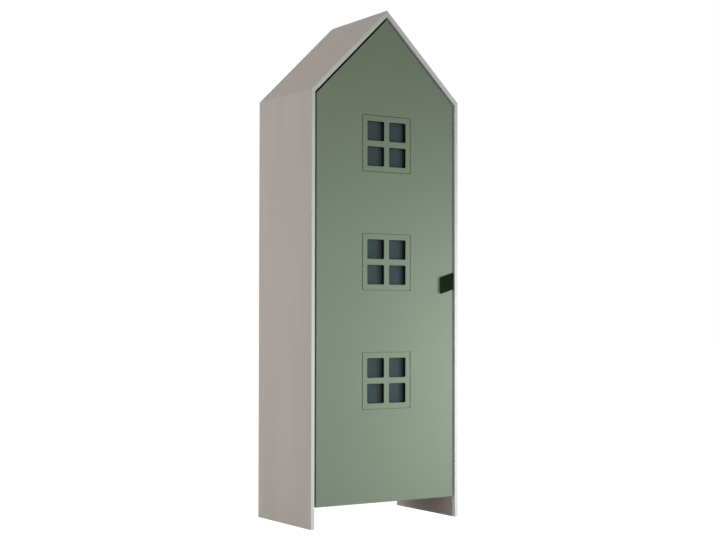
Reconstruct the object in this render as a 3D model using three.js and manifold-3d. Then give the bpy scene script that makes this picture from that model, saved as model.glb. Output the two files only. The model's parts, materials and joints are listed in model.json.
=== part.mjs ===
// House shaped wardrobe for a child's room: a carcass of boards mitred at the eaves and the ridge,
// an inset door with three four-pane windows, concealed hinges, shelves, a hanging rail and a leather pull.
// Millimetres, +Z up, the front faces -Y, origin at the centre of the footprint on the floor.
import * as THREE from "three";
import Module from "manifold-3d";
import { mergeVertices } from "three/addons/utils/BufferGeometryUtils.js";

const wasm = await Module();
wasm.setup();

// Overall sizes of the carcass
const overall_width = 576;
const overall_depth = 372;
const overall_height = 1715;
const roof_pitch_deg = 45;

// Boards
const board = 13;
const roof_board = 15;
const arris = 1;
const arris_steps = 1;
const back_board = 3;
const back_setback = 12;
const groove_depth = 5;
const groove_clearance = 0.2;
const seat_gap = 0.1;
const glue_line = 0.05;
const overshoot = 1;

// Door
const door_board = 16;
const door_gap = 7;
const door_recess = 3;
const door_bottom = 70;
const buffer_gap = 2;

// Windows in the door
const window_count = 3;
const lowest_window_z = 474;
const window_pitch = 395;
const outline_size = 190;
const outline_groove_width = 2;
const outline_groove_depth = 3;
const pane_hole = 65;
const pane_hole_round = 4;
const glazing_bar = 20;
const pane_thickness = 3;
const pane_overlap = 8;
const pane_clearance = 0.5;
const pane_round = 6;
const pane_screw_head = 6;
const pane_screw_head_height = 1.6;
const pane_screw_shank = 1.5;
const pane_screw_length = 8;
const pane_screw_from_rebate = 3;

// Shelves, their pins and the rows of pin holes
const top_shelf_below_eaves = 42;
const lower_shelf_z = 430;
const shelf_side_clearance = 0.5;
const shelf_back_clearance = 1;
const pin_radius = 2.5;
const pin_collar_radius = 4;
const pin_collar_length = 1.5;
const pin_hole_depth = 8;
const pin_reach = 8;
const pin_inset_front = 45;
const pin_inset_back = 45;
const pin_hole_pitch = 32;
const spare_holes_each_way = 2;

// Hanging rail
const rail_radius = 12.5;
const rail_wall = 1.2;
const rail_drop = 50;
const socket_wall = 2;
const socket_flange_radius = 22;
const socket_flange_thickness = 2.5;
const socket_length = 12;
const rail_clearance = 0.3;

// Fixed fittings that join the level boards to the sides
const cam_radius = 7.5;
const cam_depth = 9.5;
const cam_from_side = 24;
const cam_from_front = 60;
const cam_from_back = 60;
const cam_slot_width = 2;
const cam_slot_length = 9;
const cam_slot_depth = 3;

// Concealed barrel hinges: one barrel in the side board, one in the door's edge, and a curved link that
// slides in both. The link is an arc round the pivot, so it stays in its slots at every angle of the door.
const hinge_count = 3;
const hinge_end_distance = 110;
const pivot_behind_face = 1;
const barrel_radius = 6.5;
const barrel_length = 10;
const barrel_chamfer = 0.8;
const link_radius = 10;
const link_thickness = 1.8;
const link_height = 4.4;
const link_half_angle_deg = 79;
const link_play = 0.2;

// Magnetic catch
const catch_z = 620;
const catch_height = 46;
const catch_width = 20;
const catch_depth = 16;
const catch_magnet_height = 26;
const catch_magnet_proud = 1.2;
const catch_magnet_width = 9;
const strike_height = 34;
const strike_width = 15;
const strike_thickness = 1;
const strike_hole = 2;
const catch_touch_gap = 0.3;
const catch_round = 3;
const strike_round = 2;

// Leather pull folded round the free edge of the door
const pull_z = 809;
const pull_height = 57;
const pull_front_length = 53;
const pull_back_length = 34;
const pull_leather = 2.4;
const pull_lift = 3;
const pull_droop = 16.5;
const pull_corner_round = 4;
const pull_corner_shares = [0, 0.3, 1];
const pull_free_steps = 8;
const pull_bend_steps = 4;
const pull_face_gap = 0.3;
const pull_screw_inset = 18;
const pull_washer_radius = 9;
const pull_washer_thickness = 1;
const pull_screw_head = 4.5;
const pull_screw_head_height = 2.2;
const pull_screw_shank = 2;
const pull_screw_length = 12;

// Anti-tip bracket behind the gable
const bracket_width = 40;
const bracket_leg = 36;
const bracket_steel = 2;
const bracket_hole = 2.6;
const bracket_hole_from_bend = 23;
const bracket_hole_pitch = 20;
const bracket_inner_round = 3;

const round_segments = 20;
const small_segments = 12;
const corner_segments = 3;

// Places worked out from the sizes
const half_width = overall_width / 2;
const pitch = THREE.MathUtils.degToRad(roof_pitch_deg);
const pull_reach = pull_face_gap + pull_leather + pull_lift - door_recess;
const front_y = -overall_depth / 2 + pull_reach / 2;
const rear_y = front_y + overall_depth;
const side_inner_x = half_width - board;
const door_front_y = front_y + door_recess;
const door_rear_y = door_front_y + door_board;
const door_inset = board + door_gap;
const door_roof_inset = roof_board + door_gap;
const door_edge_x = half_width - door_inset;
const interior_front_y = door_rear_y + buffer_gap;
const back_front_y = rear_y - back_setback - back_board;
const floor_board_z = door_bottom + buffer_gap;
const eaves_z = overall_height - half_width * Math.tan(pitch);
const top_shelf_z = eaves_z - top_shelf_below_eaves;
const window_opening = 2 * pane_hole + glazing_bar;
const pane_size = window_opening + 2 * pane_overlap;
const pane_rebate = pane_size + 2 * pane_clearance;
const sides = [
  [-1, "left"],
  [1, "right"],
];
const level_names = ["lower", "middle", "upper"];

function levelName(i) {
  return level_names[i] ?? "extra_" + i;
}

// Height of a line parallel to the roof's outer face, inset by a perpendicular distance
function roofLineZ(x, inset) {
  return overall_height - inset / Math.cos(pitch) - Math.abs(x) * Math.tan(pitch);
}

// Points of the house outline, inset by one distance from the upright faces and by another from the slopes;
// side is -1 on the left and 1 on the right, and the ridge is the same for both
function footPoint(side, inset, roof_inset) {
  return [side * (half_width - inset), 0];
}

function eavesPoint(side, inset, roof_inset) {
  const x = half_width - inset;
  return [side * x, roofLineZ(x, roof_inset)];
}

// Upper end of a side board, a glue line below the mitre
function sideTopPoint(side, inset, roof_inset) {
  const [x, z] = eavesPoint(side, inset, roof_inset);
  return [x, z - glue_line];
}

function ridgePoint(side, inset, roof_inset) {
  return [0, roofLineZ(0, roof_inset)];
}

function solidOf(geometry) {
  const bare = geometry.index ? geometry.toNonIndexed() : geometry.clone();
  bare.deleteAttribute("normal");
  bare.deleteAttribute("uv");
  const merged = mergeVertices(bare, 1e-4);
  return new wasm.Manifold(
    new wasm.Mesh({
      numProp: 3,
      vertProperties: new Float32Array(merged.attributes.position.array),
      triVerts: new Uint32Array(merged.index.array),
    }),
  );
}

function geometryOf(solid) {
  const made = solid.getMesh();
  const geometry = new THREE.BufferGeometry();
  geometry.setAttribute("position", new THREE.BufferAttribute(made.vertProperties, 3));
  geometry.setIndex(new THREE.BufferAttribute(made.triVerts, 1));
  geometry.computeVertexNormals();
  return geometry;
}

function join(...geometries) {
  const whole = geometries.map(solidOf).reduce((sum, solid) => sum.add(solid));
  return geometryOf(whole);
}

function cut(base, cutters) {
  const left = cutters.map(solidOf).reduce((solid, cutter) => solid.subtract(cutter), solidOf(base));
  return geometryOf(left);
}

function signedVolume(positions, triangles) {
  const a = new THREE.Vector3();
  const b = new THREE.Vector3();
  const c = new THREE.Vector3();
  let total = 0;
  for (let i = 0; i < triangles.length; i += 3) {
    a.fromArray(positions, triangles[i] * 3);
    b.fromArray(positions, triangles[i + 1] * 3);
    c.fromArray(positions, triangles[i + 2] * 3);
    total += a.dot(b.cross(c));
  }
  return total;
}

// Closed body through a list of convex rings with equal numbers of points
function loft(rings) {
  const count = rings[0].length;
  const positions = rings.flat(2);
  const triangles = [];
  rings.slice(1).forEach((ring, level) => {
    for (let i = 0; i < count; i += 1) {
      const here = level * count + i;
      const next = level * count + ((i + 1) % count);
      triangles.push(here, next, next + count, here, next + count, here + count);
    }
  });
  const last = (rings.length - 1) * count;
  for (let i = 1; i < count - 1; i += 1) {
    triangles.push(0, i + 1, i);
    triangles.push(last, last + i, last + i + 1);
  }
  if (signedVolume(positions, triangles) < 0) triangles.reverse();
  const geometry = new THREE.BufferGeometry();
  geometry.setAttribute("position", new THREE.Float32BufferAttribute(positions, 3));
  geometry.setIndex(triangles);
  return geometry;
}

function polygon(points) {
  return new THREE.Shape(points.map(([x, y]) => new THREE.Vector2(x, y)));
}

function roundedRectangle(width, height, radius, x = 0, y = 0, Kind = THREE.Shape) {
  const right = x + width / 2;
  const left = x - width / 2;
  const top = y + height / 2;
  const bottom = y - height / 2;
  const quarter = Math.PI / 2;
  const outline = new Kind();
  outline.moveTo(left + radius, bottom);
  outline.lineTo(right - radius, bottom);
  outline.absarc(right - radius, bottom + radius, radius, -quarter, 0, false);
  outline.lineTo(right, top - radius);
  outline.absarc(right - radius, top - radius, radius, 0, quarter, false);
  outline.lineTo(left + radius, top);
  outline.absarc(left + radius, top - radius, radius, quarter, 2 * quarter, false);
  outline.lineTo(left, bottom + radius);
  outline.absarc(left + radius, bottom + radius, radius, 2 * quarter, 3 * quarter, false);
  return outline;
}

// A shape drawn in X and Y, raised between two heights
function alongZ(shape, z0, z1, segments = corner_segments) {
  const geometry = new THREE.ExtrudeGeometry(shape, {
    depth: z1 - z0,
    bevelEnabled: false,
    curveSegments: segments,
  });
  return geometry.translate(0, 0, z0);
}

// A shape drawn in X and Z, extruded from y0 back to y1, with rounded arrises where a radius is given
function alongY(shape, y0, y1, radius = 0, segments = corner_segments) {
  const geometry = new THREE.ExtrudeGeometry(shape, {
    depth: y1 - y0 - 2 * radius,
    bevelEnabled: radius > 0,
    bevelThickness: radius,
    bevelSize: radius,
    bevelOffset: -radius,
    bevelSegments: arris_steps,
    curveSegments: segments,
  });
  return geometry.translate(0, 0, radius).rotateX(Math.PI / 2).translate(0, y1, 0);
}

// A shape drawn in Y and Z, extruded from x0 to x1
function alongX(shape, x0, x1, segments = corner_segments) {
  const geometry = new THREE.ExtrudeGeometry(shape, {
    depth: x1 - x0,
    bevelEnabled: false,
    curveSegments: segments,
  });
  const turn = new THREE.Matrix4().makeBasis(
    new THREE.Vector3(0, 1, 0),
    new THREE.Vector3(0, 0, 1),
    new THREE.Vector3(1, 0, 0),
  );
  return geometry.applyMatrix4(turn).translate(x0, 0, 0);
}

function cylinderX(radius, x0, x1, y, z, segments = small_segments) {
  return new THREE.CylinderGeometry(radius, radius, x1 - x0, segments)
    .rotateZ(Math.PI / 2)
    .translate((x0 + x1) / 2, y, z);
}

function cylinderY(radius, x, y0, y1, z, segments = small_segments) {
  return new THREE.CylinderGeometry(radius, radius, y1 - y0, segments).translate(x, (y0 + y1) / 2, z);
}

function cylinderZ(radius, x, y, z0, z1, segments = small_segments) {
  return new THREE.CylinderGeometry(radius, radius, z1 - z0, segments)
    .rotateX(Math.PI / 2)
    .translate(x, y, (z0 + z1) / 2);
}

function block(x0, x1, y0, y1, z0, z1) {
  return new THREE.BoxGeometry(x1 - x0, y1 - y0, z1 - z0).translate(
    (x0 + x1) / 2,
    (y0 + y1) / 2,
    (z0 + z1) / 2,
  );
}

// A solid of revolution about the Y axis; each profile point is a radius and a distance towards +Y
function turnedY(profile, x, y, z, segments = small_segments) {
  const points = profile.map(([radius, along]) => new THREE.Vector2(radius, along));
  return new THREE.LatheGeometry(points, segments).translate(x, y, z);
}

// The same about the X axis, with its profile running towards +X where side is 1 and -X where it is -1
function turnedX(profile, side, x, y, z, segments = small_segments) {
  const points = profile.map(([radius, along]) => new THREE.Vector2(radius, along));
  return new THREE.LatheGeometry(points, segments)
    .rotateZ((-side * Math.PI) / 2)
    .translate(x, y, z);
}

const finishes = {
  carcass: { color: 0xd9d6d1, roughness: 0.55, metalness: 0 },
  door: { color: 0x93a08f, roughness: 0.5, metalness: 0 },
  backing: { color: 0xd2cfca, roughness: 0.7, metalness: 0 },
  pane: { color: 0x43494f, roughness: 0.2, metalness: 0 },
  steel: { color: 0xb9bcbf, roughness: 0.32, metalness: 1 },
  zinc: { color: 0x9da1a4, roughness: 0.4, metalness: 1 },
  plastic: { color: 0xe4e4e1, roughness: 0.45, metalness: 0 },
  leather: { color: 0x1d2018, roughness: 0.6, metalness: 0 },
};

const wardrobe = new THREE.Group();

function piece(name, geometry, finish) {
  const mesh = new THREE.Mesh(geometry, new THREE.MeshStandardMaterial(finishes[finish]));
  mesh.name = name;
  wardrobe.add(mesh);
  return mesh;
}

// Depth levels of a board that is rounded along its front and rear arrises
function arrisLevels() {
  const levels = [];
  for (let i = 0; i <= arris_steps; i += 1) {
    const angle = (i / arris_steps) * (Math.PI / 2);
    levels.push({
      set_in: arris * (1 - Math.cos(angle)),
      inset: arris * (1 - Math.sin(angle)),
    });
  }
  const front = levels.map(({ set_in, inset }) => ({ y: front_y + set_in, inset }));
  const rear = levels.map(({ set_in, inset }) => ({ y: rear_y - set_in, inset })).reverse();
  return [...front, ...rear];
}

// A carcass board between two corners of the house outline, mitred where the corners are. The arrises of the
// thicker roof boards grow in the same share, so that each mitre stays flat.
function carcassBoard(side, startPoint, endPoint) {
  const roof_share = roof_board / board;
  const rings = arrisLevels().map(({ y, inset }) => {
    const outline = [
      startPoint(side, inset, inset * roof_share),
      endPoint(side, inset, inset * roof_share),
      endPoint(side, board - inset, (board - inset) * roof_share),
      startPoint(side, board - inset, (board - inset) * roof_share),
    ];
    return outline.map(([x, z]) => [x, y, z]);
  });
  return loft(rings);
}

// The five-sided outline that the back panel, its groove and the door share
function gableOutline(inset, roof_inset, bottom) {
  return polygon([
    [inset - half_width, bottom],
    [half_width - inset, bottom],
    eavesPoint(1, inset, roof_inset),
    ridgePoint(1, inset, roof_inset),
    eavesPoint(-1, inset, roof_inset),
  ]);
}

function backGroove() {
  const outline = gableOutline(
    board - groove_depth,
    roof_board - groove_depth,
    floor_board_z - groove_clearance,
  );
  return alongY(outline, back_front_y - groove_clearance, back_front_y + back_board + groove_clearance);
}

function pinHeights() {
  const heights = [];
  for (let step = -spare_holes_each_way; step <= spare_holes_each_way; step += 1) {
    heights.push(lower_shelf_z - pin_radius - seat_gap + step * pin_hole_pitch);
  }
  return heights;
}

const pin_rows_y = [interior_front_y + pin_inset_front, back_front_y - pin_inset_back];

function pinHoles(side) {
  const mouth = side * (side_inner_x - overshoot);
  const deep = side * (side_inner_x + pin_hole_depth);
  return pin_rows_y.flatMap((y) =>
    pinHeights().map((z) =>
      cylinderX(pin_radius + seat_gap, Math.min(mouth, deep), Math.max(mouth, deep), y, z),
    ),
  );
}

function hingeBores(side) {
  return side < 0 ? hinge_heights.map(sideBarrelBore) : [];
}

function addCarcass() {
  const groove = backGroove();
  for (const [side, where] of sides) {
    piece(
      "side_panel_" + where,
      cut(carcassBoard(side, footPoint, sideTopPoint), [groove, ...pinHoles(side), ...hingeBores(side)]),
      "carcass",
    );
    piece(
      "roof_panel_" + where,
      cut(carcassBoard(side, eavesPoint, ridgePoint), [groove]),
      "carcass",
    );
  }
  const in_groove = groove_depth - groove_clearance;
  const back = gableOutline(board - in_groove, roof_board - in_groove, floor_board_z);
  piece("back_panel", alongY(back, back_front_y, back_front_y + back_board), "backing");
}

// Section of a level board, in Y and Z, with its front arrises rounded
function levelBoardSection(rear, z0) {
  const z1 = z0 + board;
  const quarter = Math.PI / 2;
  const outline = new THREE.Shape();
  outline.moveTo(rear, z0);
  outline.lineTo(rear, z1);
  outline.absarc(interior_front_y + arris, z1 - arris, arris, quarter, 2 * quarter, false);
  outline.absarc(interior_front_y + arris, z0 + arris, arris, 2 * quarter, 3 * quarter, false);
  return outline;
}

const cam_rows_y = [interior_front_y + cam_from_front, back_front_y - cam_from_back];

// Blind round recesses for the cam fittings in the lower face of a level board
function camRecesses(z0) {
  return [-1, 1].flatMap((side) =>
    cam_rows_y.map((y) =>
      cylinderZ(
        cam_radius + seat_gap,
        side * (side_inner_x - cam_from_side),
        y,
        z0 - overshoot,
        z0 + cam_depth + seat_gap,
      ),
    ),
  );
}

function addCams(board_name, z0) {
  for (const [side, where] of sides) {
    for (const [row, place] of [[0, "front"], [1, "rear"]]) {
      const x = side * (side_inner_x - cam_from_side);
      const y = cam_rows_y[row];
      const disc = cylinderZ(cam_radius, x, y, z0, z0 + cam_depth);
      const half = cam_slot_length / 2;
      const slot = cam_slot_width / 2;
      const low = z0 - overshoot;
      const high = z0 + cam_slot_depth;
      const lengthways = block(x - half, x + half, y - slot, y + slot, low, high);
      const across = block(x - slot, x + slot, y - half, y + half, low, high);
      piece(`${board_name}_cam_${where}_${place}`, cut(disc, [lengthways, across]), "zinc");
    }
  }
}

function addFixedBoards() {
  for (const [name, z0] of [["bottom_panel", floor_board_z], ["top_shelf", top_shelf_z]]) {
    const section = levelBoardSection(back_front_y - seat_gap, z0);
    const panel = cut(alongX(section, -side_inner_x, side_inner_x), camRecesses(z0));
    piece(name, panel, "carcass");
    addCams(name, z0);
  }
}

function addAdjustableShelf() {
  const section = levelBoardSection(back_front_y - shelf_back_clearance, lower_shelf_z);
  const reach = side_inner_x - shelf_side_clearance;
  piece("lower_shelf", alongX(section, -reach, reach), "carcass");
  const pin_z = lower_shelf_z - pin_radius - seat_gap;
  const profile = [
    [0, -pin_reach],
    [pin_radius, -pin_reach],
    [pin_radius, -pin_collar_length],
    [pin_collar_radius, -pin_collar_length],
    [pin_collar_radius, 0],
    [pin_radius, 0],
    [pin_radius, pin_hole_depth - seat_gap],
    [0, pin_hole_depth - seat_gap],
  ];
  for (const [side, where] of sides) {
    for (const [row, place] of [[0, "front"], [1, "rear"]]) {
      const pin = turnedX(profile, side, side * (side_inner_x - seat_gap), pin_rows_y[row], pin_z);
      const shelf_room = block(
        -reach,
        reach,
        interior_front_y,
        back_front_y,
        lower_shelf_z - seat_gap / 2,
        lower_shelf_z + board,
      );
      piece(`shelf_pin_${where}_${place}`, cut(pin, [shelf_room]), "steel");
    }
  }
}

function addHangingRail() {
  const y = (interior_front_y + back_front_y) / 2;
  const z = top_shelf_z - rail_drop;
  const end = side_inner_x - socket_flange_thickness - rail_clearance;
  const tube = new THREE.Shape().absarc(y, z, rail_radius, 0, 2 * Math.PI, false);
  tube.holes.push(new THREE.Path().absarc(y, z, rail_radius - rail_wall, 0, 2 * Math.PI, true));
  piece("hanging_rail", alongX(tube, -end, end, round_segments), "steel");
  const bore = rail_radius + rail_clearance;
  const profile = [
    [0, -socket_flange_thickness],
    [bore, -socket_flange_thickness],
    [bore, -socket_length],
    [bore + socket_wall, -socket_length],
    [bore + socket_wall, -socket_flange_thickness],
    [socket_flange_radius, -socket_flange_thickness],
    [socket_flange_radius, 0],
    [0, 0],
  ];
  for (const [side, where] of sides) {
    const socket = turnedX(profile, side, side * side_inner_x, y, z, round_segments);
    piece("rail_socket_" + where, socket, "steel");
  }
}

const window_heights = Array.from({ length: window_count }, (_, i) => lowest_window_z + i * window_pitch);

function paneHoles(z) {
  const away = (pane_hole + glazing_bar) / 2;
  return [-away, away].flatMap((x) =>
    [-away, away].map((up) =>
      roundedRectangle(pane_hole, pane_hole, pane_hole_round, x, z + up, THREE.Path),
    ),
  );
}

// The fine square groove that draws each window's frame on the door's face
function outlineGroove(z) {
  const outer = roundedRectangle(outline_size, outline_size, outline_groove_width, 0, z);
  const inner = outline_size - 2 * outline_groove_width;
  outer.holes.push(roundedRectangle(inner, inner, outline_groove_width / 2, 0, z, THREE.Path));
  return alongY(outer, door_front_y - overshoot, door_front_y + outline_groove_depth);
}

function paneRebate(z) {
  const outline = roundedRectangle(pane_rebate, pane_rebate, pane_round, 0, z);
  return alongY(outline, door_rear_y - pane_thickness, door_rear_y + overshoot);
}

// Places of the four screws round a pane, on the middle of each side
function paneScrewPlaces(z) {
  const away = pane_rebate / 2 + pane_screw_from_rebate;
  return [
    ["left", -away, z],
    ["right", away, z],
    ["top", 0, z + away],
    ["bottom", 0, z - away],
  ];
}

function doorOutline() {
  const outline = gableOutline(door_inset, door_roof_inset, door_bottom);
  outline.holes.push(...window_heights.flatMap(paneHoles));
  return outline;
}

const door_eaves_z = roofLineZ(door_edge_x, door_roof_inset);

// Heights of the hinges, spread between the door's bottom and its eaves
const hinge_heights = Array.from({ length: hinge_count }, (_, i) => {
  const lowest = door_bottom + hinge_end_distance;
  const highest = door_eaves_z - hinge_end_distance;
  return lowest + ((highest - lowest) * i) / (hinge_count - 1);
});

const pivot_x = -side_inner_x + door_gap / 2;
const pivot_y = door_front_y + pivot_behind_face;
const barrel_y = door_front_y + door_board / 2;

// Both bores of a hinge, one into the side board and one into the door's edge
function sideBarrelBore(z) {
  const deep = -side_inner_x - barrel_length - seat_gap;
  return cylinderX(barrel_radius + seat_gap, deep, -side_inner_x + overshoot, barrel_y, z, round_segments);
}

function doorBarrelBore(z) {
  const deep = -door_edge_x + barrel_length + seat_gap;
  return cylinderX(barrel_radius + seat_gap, -door_edge_x - overshoot, deep, barrel_y, z, round_segments);
}

function screwHole(radius, x, length, z) {
  return cylinderY(radius, x, door_rear_y - length, door_rear_y + overshoot, z);
}

const pull_screw_x = door_edge_x - pull_screw_inset;

function addDoor() {
  const panel = alongY(doorOutline(), door_front_y, door_rear_y, arris);
  const screw_holes = window_heights.flatMap((z) =>
    paneScrewPlaces(z).map(([, x, height]) =>
      screwHole(pane_screw_shank + seat_gap, x, pane_screw_length + seat_gap, height),
    ),
  );
  const pull_hole = screwHole(pull_screw_shank + seat_gap, pull_screw_x, pull_screw_length, pull_z);
  const cutters = [
    ...window_heights.map(outlineGroove),
    ...window_heights.map(paneRebate),
    ...hinge_heights.map(doorBarrelBore),
    ...screw_holes,
    pull_hole,
  ];
  piece("door_panel", cut(panel, cutters), "door");
}

function addPanes() {
  const profile = [
    [0, -pane_screw_length],
    [pane_screw_shank, -pane_screw_length],
    [pane_screw_shank, 0],
    [pane_screw_head, 0],
    [pane_screw_head - pane_screw_head_height, pane_screw_head_height],
    [0, pane_screw_head_height],
  ];
  window_heights.forEach((z, i) => {
    const level = levelName(i);
    const outline = roundedRectangle(pane_size, pane_size, pane_round - pane_clearance, 0, z);
    const sheet = alongY(outline, door_rear_y - pane_thickness, door_rear_y);
    piece("window_pane_" + level, sheet, "pane");
    for (const [where, x, height] of paneScrewPlaces(z)) {
      const screw = turnedY(profile, x, door_rear_y, height);
      piece(`pane_screw_${level}_${where}`, screw, "steel");
    }
  });
}

// A barrel with its mouth at the board's face, running into the board; side is -1 into the side board
function hingeBarrel(side, mouth_x, z) {
  const profile = [
    [0, 0],
    [barrel_radius, 0],
    [barrel_radius, barrel_length - barrel_chamfer],
    [barrel_radius - barrel_chamfer, barrel_length],
    [0, barrel_length],
  ];
  const barrel = turnedX(profile, side, mouth_x, barrel_y, z, round_segments);
  const outer = link_radius + link_thickness / 2 + link_play;
  const inner = link_radius - link_thickness / 2 - link_play;
  const ring = new THREE.Shape().absarc(pivot_x, pivot_y, outer, 0, 2 * Math.PI, false);
  ring.holes.push(new THREE.Path().absarc(pivot_x, pivot_y, inner, 0, 2 * Math.PI, true));
  const half = link_height / 2 + link_play;
  return cut(barrel, [alongZ(ring, z - half, z + half, round_segments)]);
}

function hingeLink(z) {
  const half_angle = THREE.MathUtils.degToRad(link_half_angle_deg);
  const first = Math.PI / 2 - half_angle;
  const last = Math.PI / 2 + half_angle;
  const outer = link_radius + link_thickness / 2;
  const inner = link_radius - link_thickness / 2;
  const outline = new THREE.Shape();
  outline.absarc(pivot_x, pivot_y, outer, first, last, false);
  outline.absarc(pivot_x, pivot_y, inner, last, first, true);
  return alongZ(outline, z - link_height / 2, z + link_height / 2, round_segments);
}

function addHinges() {
  hinge_heights.forEach((z, i) => {
    const level = levelName(i);
    piece("hinge_barrel_side_" + level, hingeBarrel(-1, -side_inner_x, z), "zinc");
    piece("hinge_barrel_door_" + level, hingeBarrel(1, -door_edge_x, z), "zinc");
    piece("hinge_link_" + level, hingeLink(z), "steel");
  });
}

function addCatch() {
  const x1 = side_inner_x;
  const x0 = x1 - catch_width;
  const strike_y = door_rear_y + strike_thickness;
  const magnet_y = strike_y + catch_touch_gap;
  const body_y = magnet_y + catch_magnet_proud;
  const body = alongX(
    roundedRectangle(catch_depth, catch_height, catch_round, body_y + catch_depth / 2, catch_z),
    x0,
    x1,
  );
  const magnet = block(
    (x0 + x1 - catch_magnet_width) / 2,
    (x0 + x1 + catch_magnet_width) / 2,
    magnet_y,
    body_y + catch_depth / 2,
    catch_z - catch_magnet_height / 2,
    catch_z + catch_magnet_height / 2,
  );
  piece("magnetic_catch", join(body, magnet), "plastic");
  const strike_x = Math.min((x0 + x1) / 2, door_edge_x - strike_width / 2 - arris);
  const outline = roundedRectangle(strike_width, strike_height, strike_round, strike_x, catch_z);
  const plate = alongY(outline, door_rear_y, strike_y);
  const hole = cylinderY(strike_hole, strike_x, door_rear_y - overshoot, strike_y + overshoot, catch_z);
  piece("strike_plate", cut(plate, [hole]), "steel");
}

// Middle line of the leather, from its free end in front of the door round the edge to its screwed end.
// Each point has its place, how far the strap has drooped there and how much of its height is cut off at
// the free end's two rounded corners.
function pullPath() {
  const half = pull_leather / 2;
  const front = door_front_y - pull_face_gap - half;
  const side = door_edge_x + pull_face_gap + half;
  const back = door_rear_y + pull_face_gap + half;
  const bend = pull_face_gap + half;
  const path = [];
  const along = pull_corner_shares.map((share) => share * pull_corner_round);
  for (let i = 1; i <= pull_free_steps; i += 1) along.push((pull_front_length * i) / pull_free_steps);
  for (const run of along) {
    const free = 1 - run / pull_front_length;
    const short = Math.max(pull_corner_round - run, 0);
    path.push({
      x: door_edge_x - pull_front_length + run,
      y: front - pull_lift * free ** 2,
      drop: pull_droop * free,
      trim: pull_corner_round - Math.sqrt(pull_corner_round ** 2 - short ** 2),
    });
  }
  for (const [start, centre_y] of [[-1, front + bend], [0, back - bend]]) {
    for (let i = 1; i <= pull_bend_steps; i += 1) {
      const angle = (Math.PI / 2) * (start + i / pull_bend_steps);
      path.push({ x: side - bend + bend * Math.cos(angle), y: centre_y + bend * Math.sin(angle) });
    }
    if (start < 0) path.push({ x: side, y: back - bend });
  }
  path.push({ x: door_edge_x - pull_back_length, y: back });
  return path;
}

function leatherPull() {
  const path = pullPath();
  const rings = path.map(({ x, y, drop = 0, trim = 0 }, i) => {
    const before = path[Math.max(i - 1, 0)];
    const after = path[Math.min(i + 1, path.length - 1)];
    const run = new THREE.Vector2(after.x - before.x, after.y - before.y).normalize();
    const across = new THREE.Vector2(-run.y, run.x).multiplyScalar(pull_leather / 2);
    const low = pull_z - pull_height / 2 - drop + trim;
    const high = pull_z + pull_height / 2 - drop - trim;
    return [
      [x + across.x, y + across.y, low],
      [x - across.x, y - across.y, low],
      [x - across.x, y - across.y, high],
      [x + across.x, y + across.y, high],
    ];
  });
  const through = door_rear_y + pull_face_gap + pull_leather + overshoot;
  const hole = cylinderY(pull_screw_shank + seat_gap, pull_screw_x, door_rear_y, through, pull_z);
  return cut(loft(rings), [hole]);
}

function addPull() {
  piece("leather_pull", leatherPull(), "leather");
  const leather_back = door_rear_y + pull_face_gap + pull_leather;
  const washer_y = leather_back + seat_gap;
  const head_y = washer_y + pull_washer_thickness;
  const bore = pull_screw_shank + seat_gap;
  const washer = [
    [bore, 0],
    [pull_washer_radius, 0],
    [pull_washer_radius, pull_washer_thickness],
    [bore, pull_washer_thickness],
    [bore, 0],
  ];
  piece("pull_washer", turnedY(washer, pull_screw_x, washer_y, pull_z, round_segments), "steel");
  const shank_end = door_rear_y + seat_gap - pull_screw_length - head_y;
  const screw = [
    [0, shank_end],
    [pull_screw_shank, shank_end],
    [pull_screw_shank, 0],
    [pull_screw_head, 0],
    [pull_screw_head, pull_screw_head_height / 2],
    [pull_screw_head / 2, pull_screw_head_height],
    [0, pull_screw_head_height],
  ];
  piece("pull_screw", turnedY(screw, pull_screw_x, head_y, pull_z), "steel");
}

function addAntiTipBracket() {
  const rear = back_front_y;
  const z = top_shelf_z + board;
  const round = bracket_inner_round + bracket_steel;
  const quarter = Math.PI / 2;
  const section = new THREE.Shape();
  section.moveTo(rear - bracket_leg, z);
  section.absarc(rear - round, z + round, round, -quarter, 0, false);
  section.lineTo(rear, z + bracket_leg);
  section.lineTo(rear - bracket_steel, z + bracket_leg);
  section.absarc(rear - round, z + round, bracket_inner_round, 0, -quarter, true);
  section.lineTo(rear - bracket_leg, z + bracket_steel);
  const angle = alongX(section, -bracket_width / 2, bracket_width / 2);
  const holes = [-1, 1].flatMap((way) => {
    const x = (way * bracket_hole_pitch) / 2;
    return [
      cylinderZ(bracket_hole, x, rear - bracket_hole_from_bend, z - overshoot, z + round),
      cylinderY(bracket_hole, x, rear - round, rear + overshoot, z + bracket_hole_from_bend),
    ];
  });
  piece("anti_tip_bracket", cut(angle, holes), "steel");
}

addCarcass();
addFixedBoards();
addAdjustableShelf();
addHangingRail();
addDoor();
addPanes();
addHinges();
addCatch();
addPull();
addAntiTipBracket();

export default wardrobe;
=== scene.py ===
"""House shaped children's wardrobe: the looks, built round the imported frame. Units are metres."""
import json
import math

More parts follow.
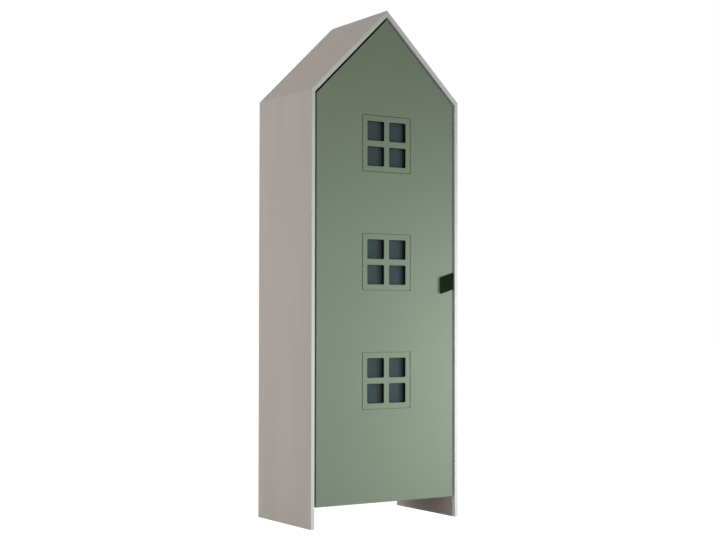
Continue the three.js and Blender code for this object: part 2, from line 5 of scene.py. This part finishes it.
import bmesh
import bpy
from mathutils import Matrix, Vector


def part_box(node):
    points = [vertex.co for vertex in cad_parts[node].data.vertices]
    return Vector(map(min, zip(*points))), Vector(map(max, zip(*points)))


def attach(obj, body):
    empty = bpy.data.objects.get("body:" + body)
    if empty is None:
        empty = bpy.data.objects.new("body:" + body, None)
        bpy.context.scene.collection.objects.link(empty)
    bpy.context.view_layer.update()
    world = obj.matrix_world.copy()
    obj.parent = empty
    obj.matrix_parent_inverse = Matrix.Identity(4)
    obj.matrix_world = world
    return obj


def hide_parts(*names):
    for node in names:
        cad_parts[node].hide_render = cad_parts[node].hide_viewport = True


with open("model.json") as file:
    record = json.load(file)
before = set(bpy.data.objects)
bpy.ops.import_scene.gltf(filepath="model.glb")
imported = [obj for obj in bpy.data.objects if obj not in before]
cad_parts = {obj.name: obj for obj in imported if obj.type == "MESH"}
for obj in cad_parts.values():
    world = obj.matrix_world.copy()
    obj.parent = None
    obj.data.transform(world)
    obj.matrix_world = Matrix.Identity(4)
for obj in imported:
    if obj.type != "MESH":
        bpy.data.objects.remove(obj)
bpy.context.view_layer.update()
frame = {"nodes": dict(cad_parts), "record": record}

# The photograph's camera, fitted to the carcass's edges, with a small shift
IMAGE_WIDTH = 716
FOCAL_PIXELS = 1428.1
SENSOR_WIDTH_MM = 36.0
CAMERA_PLACE = (-2.5316, -4.23405, 0.6773)
CAMERA_YAW_DEG = 33.975
CAMERA_PITCH_DEG = 1.542
CAMERA_SHIFT = (-0.1089, 0.0154)

# Area lamps: name, place, target, size, watts and spread in degrees
LAMPS = (
    ("key", (1.5, -0.95, 0.45), (0.1, -0.18, 0.3), (0.8, 0.8), 6.8, 100),
    ("front", (-0.1, -1.6, 0.35), (0.0, -0.18, 0.45), (0.8, 0.8), 3.6, 180),
    ("fill", (-3.4, 1.4, 0.7), (-0.29, 0.0, 0.8), (2.6, 2.6), 57, 180),
    ("spot", (2.2, -1.6, 0.6), (0.15, -0.18, 0.65), (0.5, 0.5), 3.0, 55),
)
WORLD_LIGHT = 0.45

# The floor: its half size, the share of the shadow that stays in its white, and that white, which is a little
# above one so that its unshaded part meets the white background
FLOOR_HALF_SIZE = 30
FLOOR_SHADOW = 0.06
FLOOR_WHITE = 1.12

ROOF_PITCH = math.radians(45)

# The windows' cuts, which carry painted shade, lie within this distance of the middle and between these heights
WINDOW_REACH = 0.0955
WINDOW_BOTTOM = 0.37
WINDOW_TOP = 1.37

# The door's upright edges, which carry painted shade, lie further from the middle than this
EDGE_REACH = 2 * WINDOW_REACH

# The plane of the door's face, how far behind it painted light makes the carcass's inner faces paler, and how
# softly that ends
DOOR_FRONT = -0.18165
PAINTED_LIGHT_DEPTH = 0.011
PAINTED_LIGHT_FADE = 0.002

# A mask that is bounded by a place goes from nought to one over this length
MASK_FADE = 0.0001

# Ranges over which a part of the normal starts to count: forward or back, sideways enough for a slope, upwards
# enough for a slope, and straight sideways; and the same for the normal's X times the place's X, in metres
FORWARD = (0.5, 0.6)
ASLANT = (0.4, 0.5)
UPWARD = (0.3, 0.4)
SIDEWAYS = (0.95, 0.97)
INWARD = (-0.005, -0.004)

# How far the catch's magnet stands in front of its body
MAGNET_PROUD = 0.0012

# The leather strap: its lengths on the door's face and back, its section, its middle's height, how far its
# free end lifts and hangs, the round of its corners and edges, and its gap to the door
STRAP_FRONT = 0.053
STRAP_BACK = 0.034
STRAP_HEIGHT = 0.057
STRAP_THICK = 0.0024
STRAP_Z = 0.809
STRAP_LIFT = 0.003
STRAP_DROOP = 0.0165
STRAP_CORNER = 0.004
STRAP_EDGE_ROUND = 0.0006
STRAP_GAP = 0.0003

# How many steps the strap has in its free corners, on the face, in each of its two bends and on the back, and
# how much thinner its two ends are
CORNER_STEPS = 6
FACE_STEPS = 20
BEND_STEPS = 8
BACK_STEPS = 6
END_PINCH = 0.7

# Screws, as (radius, height above the head's seat), from the tip to the rim of the flat top
PANE_SCREW = (
    (0.0004, -0.008), (0.0015, -0.0065), (0.0015, 0), (0.006, 0), (0.00565, 0.00035),
    (0.0052, 0.0008), (0.00475, 0.00125), (0.0044, 0.0015), (0.004, 0.0016),
)
PULL_SCREW = (
    (0.0006, -0.0122), (0.002, -0.0105), (0.002, 0), (0.0045, 0), (0.0045, 0.0008),
    (0.0042, 0.00125), (0.0034, 0.0017), (0.0026, 0.0021), (0.0024, 0.0022),
)
SCREW_SIDES = 28

# The screws' cross cut: half its width, and as shares of the flat top's radius its arm and depth; its floor is
# smaller than its mouth
CROSS_HALF_WIDTH = 0.00045
CROSS_ARM = 0.72
CROSS_DEPTH = 0.3
CROSS_FLOOR = 0.6

# Own pieces are smooth except at edges sharper than this
SMOOTH_LIMIT = math.radians(40)

LEVELS = ("lower", "middle", "upper")
SCREW_PLACES = ("left", "right", "top", "bottom")


def srgb(red, green, blue):
    """Linear colour of an 8-bit display colour."""
    def linear(value):
        share = value / 255
        return share / 12.92 if share <= 0.04045 else ((share + 0.055) / 1.055) ** 2.4
    return (linear(red), linear(green), linear(blue), 1.0)


class Surface:
    """One procedural material: nodes are added by short calls that return output sockets."""

    def __init__(self, name, roughness, metallic=0.0, ior=1.5, specular=0.25):
        self.material = bpy.data.materials.new(name)
        self.material.use_nodes = True
        self.tree = self.material.node_tree
        self.shader = self.tree.nodes["Principled BSDF"]
        self.shader.inputs["Roughness"].default_value = roughness
        self.shader.inputs["Metallic"].default_value = metallic
        self.shader.inputs["IOR"].default_value = ior
        self.shader.inputs["Specular IOR Level"].default_value = specular
        self.height = None

    def node(self, kind, **settings):
        """A new node of a kind, with the settings given by name."""
        node = self.tree.nodes.new(kind)
        for key, value in settings.items():
            setattr(node, key, value)
        return node

    def link(self, source, target):
        self.tree.links.new(source, target)

    def place(self, scale=(1, 1, 1), turn=(0, 0, 0)):
        """The point on the surface in the object's own metres, turned and then stretched."""
        coordinates = self.node("ShaderNodeTexCoord")
        turned = self.node("ShaderNodeVectorRotate", rotation_type="EULER_XYZ")
        turned.inputs["Rotation"].default_value = turn
        self.link(coordinates.outputs["Object"], turned.inputs["Vector"])
        scaled = self.node("ShaderNodeVectorMath", operation="MULTIPLY")
        scaled.inputs[1].default_value = scale
        self.link(turned.outputs["Vector"], scaled.inputs[0])
        return scaled.outputs["Vector"]

    def noise(self, place, detail=3.0, roughness=0.55, distortion=0.0):
        """Noise at a place that already has the scale wanted."""
        node = self.node("ShaderNodeTexNoise")
        node.inputs["Scale"].default_value = 1.0
        node.inputs["Detail"].default_value = detail
        node.inputs["Roughness"].default_value = roughness
        node.inputs["Distortion"].default_value = distortion
        self.link(place, node.inputs["Vector"])
        return node.outputs["Fac"]

    def ramp(self, value, low, high, first, last):
        """A colour ramp from first to last while value goes from low to high."""
        node = self.node("ShaderNodeValToRGB")
        node.color_ramp.elements[0].position = low
        node.color_ramp.elements[0].color = first
        node.color_ramp.elements[1].position = high
        node.color_ramp.elements[1].color = last
        self.link(value, node.inputs["Fac"])
        return node.outputs["Color"]

    def span(self, value, low, high, first, last):
        """A number that goes from first to last while value goes from low to high."""
        node = self.node("ShaderNodeMapRange")
        for key, number in (("From Min", low), ("From Max", high), ("To Min", first), ("To Max", last)):
            node.inputs[key].default_value = number
        self.link(value, node.inputs["Value"])
        return node.outputs["Result"]

    def times(self, first, second):
        """Two colours multiplied."""
        node = self.node("ShaderNodeMix", data_type="RGBA", blend_type="MULTIPLY")
        node.inputs["Factor"].default_value = 1.0
        self.link(first, node.inputs["A"])
        self.link(second, node.inputs["B"])
        return node.outputs["Result"]

    def pick(self, first, second, share):
        """The first colour where the share is nought and the second where it is one."""
        node = self.node("ShaderNodeMix", data_type="RGBA")
        self.link(share, node.inputs["Factor"])
        self.link(first, node.inputs["A"])
        self.link(second, node.inputs["B"])
        return node.outputs["Result"]

    def part(self, output, axis):
        """One part, such as "X", of the object's own coordinates or of its normal."""
        coordinates = self.node("ShaderNodeTexCoord")
        parts = self.node("ShaderNodeSeparateXYZ")
        self.link(coordinates.outputs[output], parts.inputs[0])
        return parts.outputs[axis]

    def size_of(self, value):
        """The value without its sign."""
        node = self.node("ShaderNodeMath", operation="ABSOLUTE")
        self.link(value, node.inputs[0])
        return node.outputs[0]

    def product(self, *values):
        """The product of two or more numbers."""
        total = values[0]
        for value in values[1:]:
            node = self.node("ShaderNodeMath", operation="MULTIPLY")
            self.link(total, node.inputs[0])
            self.link(value, node.inputs[1])
            total = node.outputs[0]
        return total

    def below(self, value, limit):
        """One where the value is below the limit and nought where it is above."""
        return self.span(value, limit, limit + MASK_FADE, 1, 0)

    def above(self, value, limit):
        """One where the value is above the limit and nought where it is below."""
        return self.span(value, limit, limit + MASK_FADE, 0, 1)

    def wall(self):
        """One on surfaces that stand square to the door's face."""
        return self.span(self.size_of(self.part("Normal", "Y")), *ASLANT, 1, 0)

    def faces_front(self):
        """One on surfaces that face straight forward or back, such as a board's banded edges."""
        return self.span(self.size_of(self.part("Normal", "Y")), *FORWARD, 0, 1)

    def window_cut_shade_mask(self):
        """One on the walls of the holes and grooves that are cut into the door's face, where the lacquer gets
        painted shade.
        """
        near = self.below(self.size_of(self.part("Object", "X")), WINDOW_REACH)
        height = self.part("Object", "Z")
        over_bottom = self.above(height, WINDOW_BOTTOM - MASK_FADE)
        under_top = self.below(height, WINDOW_TOP)
        return self.product(self.wall(), near, over_bottom, under_top)

    def sloping_edge_shade_mask(self):
        """One on the door's two edges under the roof, where the lacquer gets painted shade."""
        steep = self.span(self.size_of(self.part("Normal", "X")), *ASLANT, 0, 1)
        high = self.above(self.part("Object", "Z"), WINDOW_TOP)
        tilted = self.span(self.part("Normal", "Z"), *UPWARD, 0, 1)
        return self.product(self.wall(), steep, high, tilted)

    def upright_edge_shade_mask(self):
        """One on the door's two upright edges, where the lacquer gets painted shade."""
        sideways = self.span(self.size_of(self.part("Normal", "X")), *SIDEWAYS, 0, 1)
        aside = self.above(self.size_of(self.part("Object", "X")), EDGE_REACH)
        return self.product(sideways, aside)

    def lip_light_mask(self):
        """One on the front strips of the carcass's inner faces, which show beside the door and get painted
        light.
        """
        facing = self.product(self.part("Normal", "X"), self.part("Object", "X"))
        inward = self.span(facing, *INWARD, 1, 0)
        end = DOOR_FRONT + PAINTED_LIGHT_DEPTH
        near = self.span(self.part("Object", "Y"), end, end + PAINTED_LIGHT_FADE, 1, 0)
        return self.product(inward, near)

    def bump(self, value, strength, distance):
        """Adds a bump on top of the bumps that the surface already has."""
        node = self.node("ShaderNodeBump")
        node.inputs["Strength"].default_value = strength
        node.inputs["Distance"].default_value = distance
        self.link(value, node.inputs["Height"])
        if self.height is not None:
            self.link(self.height, node.inputs["Normal"])
        self.height = node.outputs["Normal"]
        self.link(self.height, self.shader.inputs["Normal"])

    def colour(self, socket):
        """Gives the surface its colour."""
        self.link(socket, self.shader.inputs["Base Color"])

    def rough(self, socket):
        """Gives the surface its roughness."""
        self.link(socket, self.shader.inputs["Roughness"])


def laminate(name, turn, light, dark):
    """Pale melamine with a fine printed grain that runs along Z once the place is turned."""
    surface = Surface(name, roughness=0.55, specular=0.1)
    grain = surface.noise(surface.place((260, 260, 5), turn), 4.0, 0.6, 0.4)
    cloud = surface.noise(surface.place((9, 9, 1.4), turn), 2.0)
    fibre = surface.noise(surface.place((900, 900, 24), turn), 2.0)
    base = surface.ramp(grain, 0.32, 0.68, dark, light)
    clouds = surface.ramp(cloud, 0.35, 0.7, (0.95, 0.945, 0.94, 1), (1, 1, 1, 1))
    board = surface.times(base, clouds)
    band = surface.ramp(fibre, 0.3, 0.7, srgb(201, 203, 199), srgb(207, 209, 205))
    # Painted light: the front strips of the inner faces in the gaps beside the door are paler than the board,
    # as if lit
    painted_lip_light = surface.ramp(fibre, 0.3, 0.7, srgb(226, 227, 225), srgb(232, 233, 231))
    inside = surface.pick(board, painted_lip_light, surface.lip_light_mask())
    surface.colour(surface.pick(inside, band, surface.faces_front()))
    surface.rough(surface.span(fibre, 0.3, 0.7, 0.5, 0.6))
    surface.bump(fibre, 0.08, 0.0002)
    surface.bump(grain, 0.03, 0.0003)
    return surface.material


def lacquer():
    """Sage green satin lacquer: even, with a faint cloud and a very fine orange peel; painted shade darkens the
    window cuts and the door's edges.
    """
    surface = Surface("door_lacquer", roughness=0.45, ior=1.4, specular=0.18)
    cloud = surface.noise(surface.place((3, 3, 2)), 2.0)
    peel = surface.noise(surface.place((700, 700, 700)), 2.0)
    face = surface.ramp(cloud, 0.3, 0.7, srgb(118, 131, 114), srgb(121, 134, 117))
    # Painted shade: the walls of the window holes and grooves are near-black, as they lie in shade
    cuts = surface.ramp(peel, 0.3, 0.7, srgb(14, 18, 10), srgb(18, 22, 14))
    # Painted shade: the upright edges are darker green, as they lie in the shade of the gaps beside the carcass
    edge = surface.ramp(peel, 0.3, 0.7, srgb(88, 99, 84), srgb(92, 103, 88))
    edged = surface.pick(face, edge, surface.upright_edge_shade_mask())
    # Painted shade: the sloping edges take the near-black of the cuts, as they lie in the shaded gaps under the
    # roof
    sloped = surface.pick(edged, cuts, surface.sloping_edge_shade_mask())
    surface.colour(surface.pick(sloped, cuts, surface.window_cut_shade_mask()))
    surface.rough(surface.span(peel, 0.3, 0.7, 0.42, 0.5))
    surface.bump(peel, 0.12, 0.0001)
    return surface.material


def smoked_acrylic():
    """Dark smoked sheet behind the window holes, glossy with faint haze."""
    surface = Surface("smoked_acrylic", roughness=0.22, specular=0.25)
    haze = surface.noise(surface.place((14, 14, 14)), 3.0)
    surface.colour(surface.ramp(haze, 0.3, 0.7, srgb(44, 59, 63), srgb(49, 64, 68)))
    surface.rough(surface.span(haze, 0.3, 0.7, 0.16, 0.24))
    return surface.material


def metal(name, colour, roughness, grain_scale):
    """Plated or cast metal with a fine directionless grain."""
    surface = Surface(name, roughness=roughness, metallic=1.0)
    grain = surface.noise(surface.place((grain_scale,) * 3), 3.0)
    darker = tuple(channel * 0.86 for channel in colour[:3]) + (1.0,)
    surface.colour(surface.ramp(grain, 0.35, 0.65, darker, colour))
    surface.rough(surface.span(grain, 0.3, 0.7, roughness - 0.06, roughness + 0.08))
    surface.bump(grain, 0.08, 0.0001)
    return surface.material


def hardboard():
    """Pale coated board of the back, with a fine fleck."""
    surface = Surface("back_board", roughness=0.6)
    fleck = surface.noise(surface.place((320, 320, 320)), 4.0)
    cloud = surface.noise(surface.place((6, 6, 3)), 2.0)
    base = surface.ramp(fleck, 0.3, 0.7, srgb(176, 172, 167), srgb(186, 182, 178))
    clouds = surface.ramp(cloud, 0.3, 0.7, (0.96, 0.96, 0.955, 1), (1, 1, 1, 1))
    surface.colour(surface.times(base, clouds))
    surface.bump(fleck, 0.15, 0.0002)
    return surface.material


def moulded_plastic(magnet_rear_y):
    """White moulded plastic; the magnet, which stands in front of the catch's body, is dark ferrite."""
    surface = Surface("white_plastic", roughness=0.5)
    grain = surface.noise(surface.place((1400, 1400, 1400)), 2.0)
    body = surface.ramp(grain, 0.3, 0.7, srgb(222, 221, 217), srgb(228, 227, 223))
    magnet = surface.ramp(grain, 0.3, 0.7, srgb(62, 61, 62), srgb(72, 71, 71))
    is_magnet = surface.below(surface.part("Object", "Y"), magnet_rear_y)
    surface.colour(surface.pick(body, magnet, is_magnet))
    surface.bump(grain, 0.1, 0.0001)
    return surface.material


def leather():
    """Very dark olive leather with a pebbled grain."""
    surface = Surface("leather", roughness=0.75, specular=0.02)
    pebble = surface.node("ShaderNodeTexVoronoi", feature="SMOOTH_F1")
    pebble.inputs["Scale"].default_value = 900
    surface.link(surface.place(), pebble.inputs["Vector"])
    wear = surface.noise(surface.place((60, 60, 60)), 3.0)
    surface.colour(surface.ramp(wear, 0.3, 0.75, srgb(16, 26, 10), srgb(22, 33, 16)))
    surface.rough(surface.span(wear, 0.3, 0.7, 0.68, 0.8))
    surface.bump(pebble.outputs["Distance"], 0.35, 0.0003)
    return surface.material


def dress(name, material):
    """Gives a CAD node its one material."""
    mesh = frame["nodes"][name].data
    mesh.materials.clear()
    mesh.materials.append(material)


def magnet_rear():
    """Where the catch's magnet meets its body, just behind the catch's foremost face."""
    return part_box("magnetic_catch")[0][1] + MAGNET_PROUD - MASK_FADE / 2


def dress_all():
    """Dresses every CAD node and returns the finishes that own pieces share."""
    light, dark = srgb(189, 181, 175), srgb(184, 176, 170)
    upright = laminate("laminate_upright", (0, 0, 0), light, dark)
    slope = {
        "left": laminate("laminate_left_slope", (0, -ROOF_PITCH, 0), light, dark),
        "right": laminate("laminate_right_slope", (0, ROOF_PITCH, 0), light, dark),
    }
    level = laminate("laminate_level", (0, math.pi / 2, 0), light, dark)
    steel = metal("steel", (0.55, 0.56, 0.57, 1), 0.3, 400)
    zinc = metal("zinc", (0.42, 0.43, 0.44, 1), 0.42, 700)
    # Painted shade: the hinges' zinc is darkened so that the hinge in the door's gap stays as dark as the gap's
    # shade
    zinc_painted_shade = metal("zinc_painted_shade", (0.13, 0.135, 0.14, 1), 0.5, 700)
    finishes = {
        "door_lacquer": lacquer(), "smoked_acrylic": smoked_acrylic(), "steel": steel, "zinc": zinc,
        "back_board": hardboard(), "white_plastic": moulded_plastic(magnet_rear()), "leather": leather(),
    }
    slots = {part["node"]: part["material_slot"] for part in frame["record"]["subparts"]}
    for name in frame["nodes"]:
        slot = slots[name]
        # The hinges take the zinc darkened with painted shade
        if name.startswith("hinge_"):
            dress(name, zinc_painted_shade)
        elif slot != "carcass_laminate":
            dress(name, finishes[slot])
        elif name.startswith("side_"):
            dress(name, upright)
        elif name.startswith("roof_"):
            dress(name, slope[name.rsplit("_", 1)[1]])
        else:
            dress(name, level)
    return finishes


def add_piece(name, mesh, material, body, replaced):
    """Puts a mesh into the scene in the place of a CAD node, riding on the same body."""
    mesh.materials.append(material)
    mesh.shade_smooth()
    mesh.set_sharp_from_angle(angle=SMOOTH_LIMIT)
    piece = bpy.data.objects.new(name, mesh)
    bpy.context.scene.collection.objects.link(piece)
    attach(piece, body)
    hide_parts(replaced)


def strap_stations():
    """Places along the strap, from its free end round the door's edge to its end on the back.

    Each is x, y, how far the strap hangs there and how much its rounded corners cut off.
    """
    low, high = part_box("door_panel")
    bend = STRAP_GAP + STRAP_THICK / 2
    runs = [STRAP_CORNER * (1 - math.cos(math.radians(90 * i / CORNER_STEPS))) for i in range(CORNER_STEPS + 1)]
    runs += [STRAP_CORNER + (STRAP_FRONT - STRAP_CORNER) * i / FACE_STEPS for i in range(1, FACE_STEPS + 1)]
    stations = []
    for run in runs:
        free = 1 - run / STRAP_FRONT
        short = max(STRAP_CORNER - run, 0)
        cut = STRAP_CORNER - math.sqrt(STRAP_CORNER ** 2 - short ** 2)
        y = low[1] - bend - STRAP_LIFT * free ** 2
        stations.append((high[0] - STRAP_FRONT + run, y, STRAP_DROOP * free, cut))
    for start, centre_y in ((-90, low[1]), (0, high[1])):
        if start == 0:
            stations.append((high[0] + bend, centre_y, 0, 0))
        for i in range(1, BEND_STEPS + 1):
            angle = math.radians(start + 90 * i / BEND_STEPS)
            stations.append((high[0] + bend * math.cos(angle), centre_y + bend * math.sin(angle), 0, 0))
    for i in range(1, BACK_STEPS + 1):
        stations.append((high[0] - STRAP_BACK * i / BACK_STEPS, high[1] + bend, 0, 0))
    return stations


def strap_section(station, across, pinch):
    """The strap's section at a station: a tall thin rectangle with rounded corners."""
    x, y, drop, cut = station
    half = STRAP_THICK / 2 * pinch
    middle = STRAP_Z - drop
    tall = STRAP_HEIGHT / 2 - cut
    ring = []
    for way, up, start in ((1, 1, 0), (-1, 1, 90), (-1, -1, 180), (1, -1, 270)):
        for turn in (0, 45, 90):
            angle = math.radians(start + turn)
            out = way * (half - STRAP_EDGE_ROUND) + STRAP_EDGE_ROUND * math.cos(angle)
            z = middle + up * (tall - STRAP_EDGE_ROUND) + STRAP_EDGE_ROUND * math.sin(angle)
            ring.append((x + across[0] * out, y + across[1] * out, z))
    return ring


def tidy_normals(mesh):
    """Turns all faces outwards."""
    made = bmesh.new()
    made.from_mesh(mesh)
    bmesh.ops.recalc_face_normals(made, faces=made.faces)
    made.to_mesh(mesh)
    made.free()


def add_strap(material):
    """The strap, a skin over its stations, closed at both ends."""
    stations = strap_stations()
    vertices = []
    for i, station in enumerate(stations):
        before = stations[max(i - 1, 0)]
        after = stations[min(i + 1, len(stations) - 1)]
        run = Vector((after[0] - before[0], after[1] - before[1])).normalized()
        pinch = END_PINCH if i in (0, len(stations) - 1) else 1
        vertices += strap_section(station, (-run.y, run.x), pinch)
    count = len(vertices) // len(stations)
    faces = [tuple(range(count)), tuple(range(len(vertices) - count, len(vertices)))]
    for level in range(len(stations) - 1):
        for i in range(count):
            here = level * count + i
            beside = level * count + (i + 1) % count
            faces.append((here, beside, beside + count, here + count))
    mesh = bpy.data.meshes.new("leather_strap")
    mesh.from_pydata(vertices, [], faces)
    tidy_normals(mesh)
    add_piece("leather_strap", mesh, material, "door", "leather_pull")


def cross_outline(arm, half_width):
    """The twelve corners of a cross round the origin."""
    quarter = [(half_width, half_width), (half_width, arm), (-half_width, arm)]
    points = []
    for turn in range(4):
        for x, z in quarter:
            for _ in range(turn):
                x, z = -z, x
            points.append((x, z))
    return points


def screw_mesh(name, rows, centre, seat_y):
    """A turned screw with its head towards the back and a cross cut for the driver."""
    made = bmesh.new()
    rings = []
    for radius, height in rows:
        ring = []
        for i in range(SCREW_SIDES):
            angle = 2 * math.pi * i / SCREW_SIDES
            x, z = radius * math.cos(angle), radius * math.sin(angle)
            ring.append(made.verts.new((centre[0] + x, seat_y + height, centre[1] + z)))
        rings.append(ring)
    made.faces.new(rings[0])
    for first, second in zip(rings, rings[1:]):
        for i in range(SCREW_SIDES):
            j = (i + 1) % SCREW_SIDES
            made.faces.new((first[i], first[j], second[j], second[i]))
    rim, top_height = rows[-1]
    loops = []
    for share, height in ((1, top_height), (CROSS_FLOOR, top_height - rim * CROSS_DEPTH)):
        outline = cross_outline(rim * CROSS_ARM * share, CROSS_HALF_WIDTH * share)
        loops.append([made.verts.new((centre[0] + x, seat_y + height, centre[1] + z)) for x, z in outline])
    edges = [made.edges.get((rings[-1][i - 1], rings[-1][i])) for i in range(SCREW_SIDES)]
    edges += [made.edges.new((loops[0][i - 1], loops[0][i])) for i in range(len(loops[0]))]
    bmesh.ops.triangle_fill(made, use_beauty=True, edges=edges)
    for i in range(len(loops[0])):
        made.faces.new((loops[0][i - 1], loops[0][i], loops[1][i], loops[1][i - 1]))
    made.faces.new(loops[1])
    bmesh.ops.recalc_face_normals(made, faces=made.faces)
    mesh = bpy.data.meshes.new(name)
    made.to_mesh(mesh)
    made.free()
    return mesh


def add_screws(material):
    """Turned screws in the place of the CAD's plain ones."""
    seats = {f"pane_screw_{level}_{side}": PANE_SCREW for level in LEVELS for side in SCREW_PLACES}
    seats["pull_screw"] = PULL_SCREW
    for node, rows in seats.items():
        low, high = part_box(node)
        centre = ((low[0] + high[0]) / 2, (low[2] + high[2]) / 2)
        name = "cross_" + node
        mesh = screw_mesh(name, rows, centre, high[1] - rows[-1][1])
        add_piece(name, mesh, material, "door", node)


def add_camera():
    """The camera at the photograph's place."""
    data = bpy.data.cameras.new("camera")
    data.sensor_width = SENSOR_WIDTH_MM
    data.lens = FOCAL_PIXELS * SENSOR_WIDTH_MM / IMAGE_WIDTH
    data.shift_x, data.shift_y = CAMERA_SHIFT
    data.clip_end = 100
    camera = bpy.data.objects.new("camera", data)
    bpy.context.scene.collection.objects.link(camera)
    camera.location = CAMERA_PLACE
    camera.rotation_euler = (math.radians(90 + CAMERA_PITCH_DEG), 0, -math.radians(CAMERA_YAW_DEG))
    bpy.context.scene.camera = camera


def add_lamp(name, place, target, size, watts, spread_deg):
    """An area lamp that faces its target."""
    data = bpy.data.lights.new(name, "AREA")
    data.shape = "RECTANGLE"
    data.size, data.size_y = size
    data.energy = watts
    data.spread = math.radians(spread_deg)
    lamp = bpy.data.objects.new(name, data)
    lamp.location = place
    lamp.rotation_euler = (Vector(target) - Vector(place)).to_track_quat("-Z", "Y").to_euler()
    bpy.context.scene.collection.objects.link(lamp)


def seen_plain(tree):
    """One where the camera, a mirrored ray or a see-through ray looks, and nought for the light itself."""
    path = tree.nodes.new("ShaderNodeLightPath")
    seen = path.outputs["Is Camera Ray"]
    for kind in ("Is Glossy Ray", "Is Transmission Ray"):
        largest = tree.nodes.new("ShaderNodeMath")
        largest.operation = "MAXIMUM"
        tree.links.new(seen, largest.inputs[0])
        tree.links.new(path.outputs[kind], largest.inputs[1])
        seen = largest.outputs[0]
    return seen


def set_world(strength):
    """An even white world: the strength given as light, and plain white where it is seen."""
    world = bpy.data.worlds.new("studio")
    bpy.context.scene.world = world
    world.use_nodes = True
    tree = world.node_tree
    background = tree.nodes["Background"]
    background.inputs["Color"].default_value = (1, 1, 1, 1)
    level = tree.nodes.new("ShaderNodeMapRange")
    level.inputs["To Min"].default_value = strength
    level.inputs["To Max"].default_value = 1.0
    tree.links.new(seen_plain(tree), level.inputs["Value"])
    tree.links.new(level.outputs["Result"], background.inputs["Strength"])


def add_floor(half_size, shadow_share):
    """A wide pale floor: white to the camera, with a part of the object's shadow left in it."""
    mesh = bpy.data.meshes.new("floor")
    corners = [(half_size * x, half_size * y, 0) for x, y in ((-1, -1), (1, -1), (1, 1), (-1, 1))]
    mesh.from_pydata(corners, [], [(0, 1, 2, 3)])
    floor = bpy.data.objects.new("floor", mesh)
    bpy.context.scene.collection.objects.link(floor)
    material = bpy.data.materials.new("floor")
    material.use_nodes = True
    tree = material.node_tree
    tree.nodes.clear()
    diffuse = tree.nodes.new("ShaderNodeBsdfDiffuse")
    diffuse.inputs["Color"].default_value = (0.8, 0.8, 0.79, 1)
    white = tree.nodes.new("ShaderNodeEmission")
    white.inputs["Strength"].default_value = FLOOR_WHITE
    share = tree.nodes.new("ShaderNodeMath")
    share.operation = "MULTIPLY"
    share.inputs[1].default_value = 1 - shadow_share
    tree.links.new(seen_plain(tree), share.inputs[0])
    mix = tree.nodes.new("ShaderNodeMixShader")
    output = tree.nodes.new("ShaderNodeOutputMaterial")
    tree.links.new(share.outputs[0], mix.inputs["Fac"])
    tree.links.new(diffuse.outputs[0], mix.inputs[1])
    tree.links.new(white.outputs[0], mix.inputs[2])
    tree.links.new(mix.outputs[0], output.inputs["Surface"])
    mesh.materials.append(material)


finishes = dress_all()
add_strap(finishes["leather"])
add_screws(finishes["steel"])
add_camera()
set_world(WORLD_LIGHT)
for lamp in LAMPS:
    add_lamp(*lamp)
add_floor(FLOOR_HALF_SIZE, FLOOR_SHADOW)
bpy.context.scene.view_settings.view_transform = "Standard"
